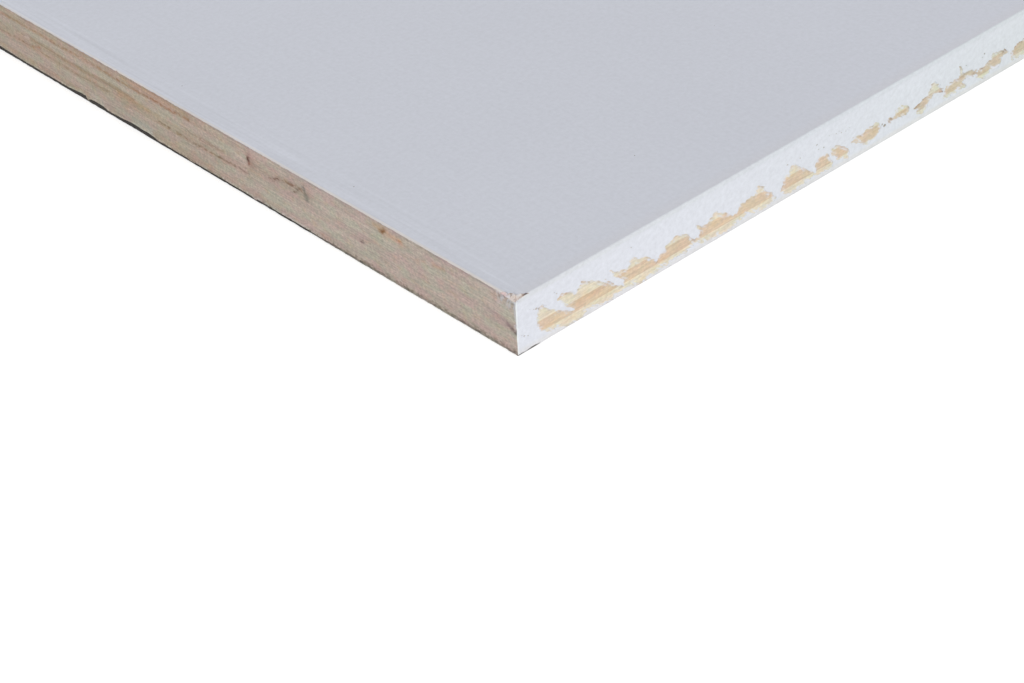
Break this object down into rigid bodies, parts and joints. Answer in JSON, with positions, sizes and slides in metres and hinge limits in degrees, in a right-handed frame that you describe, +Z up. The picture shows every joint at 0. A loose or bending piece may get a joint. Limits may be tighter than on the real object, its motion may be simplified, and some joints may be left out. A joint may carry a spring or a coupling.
{
  "type": "poplar plywood sheet",
  "caption": "Flat plywood panel of cross-laid poplar veneers, painted white on its faces and long edges, with a bare sawn end.",
  "frame": {"origin": "centre of the underside, on the surface that the sheet lies on", "axes": "+X along the length and the grain of the face, towards the far short edge from the bare sawn end; +Y across the width, away from the worn long edge; +Z up through the thickness"},
  "size_m": [1.22, 0.61, 0.015],
  "materials": {
    "poplar_long_grain": "matte",
    "poplar_cross_grain": "matte",
    "white_paint": "matte"
  },
  "bodies": {
    "root": {"face_veneer": "poplar_long_grain", "upper_crossband": "poplar_cross_grain", "core_veneer": "poplar_long_grain", "lower_crossband": "poplar_cross_grain", "back_veneer": "poplar_long_grain"}
  },
  "joints": []
}
